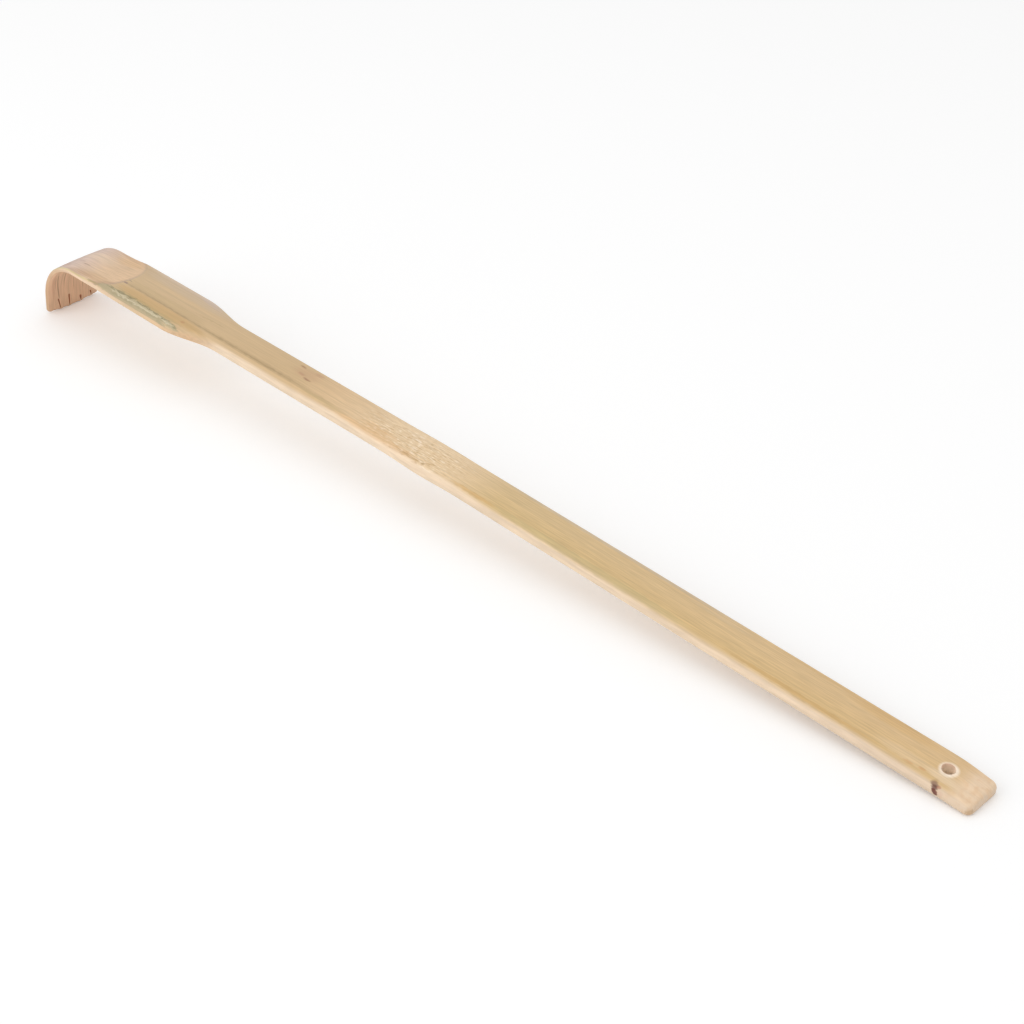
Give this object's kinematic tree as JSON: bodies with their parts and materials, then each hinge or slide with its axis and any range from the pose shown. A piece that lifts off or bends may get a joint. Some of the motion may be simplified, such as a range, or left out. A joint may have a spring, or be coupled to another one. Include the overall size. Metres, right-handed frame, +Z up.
{
  "type": "back scratcher",
  "caption": "Flat bamboo back scratcher: a long straight grip with a hanging hole, shoulders widening to a blade, and a bent-over claw slit into blunt teeth.",
  "frame": {"origin": "middle of the bounding box, on the floor that the strip lies on", "axes": "+X along the strip towards the hanging end, +Z up from the floor, with the skin side on top and the claw pointing down at -X"},
  "size_m": [0.4588, 0.0256, 0.0303],
  "materials": {
    "bamboo": "sanded bare bamboo, satin skin side"
  },
  "bodies": {
    "root": {"hanging_end": "bamboo", "grip": "bamboo", "culm_node": "bamboo", "shaft": "bamboo", "neck": "bamboo", "blade": "bamboo", "bend": "bamboo", "claw": "bamboo"}
  },
  "joints": []
}
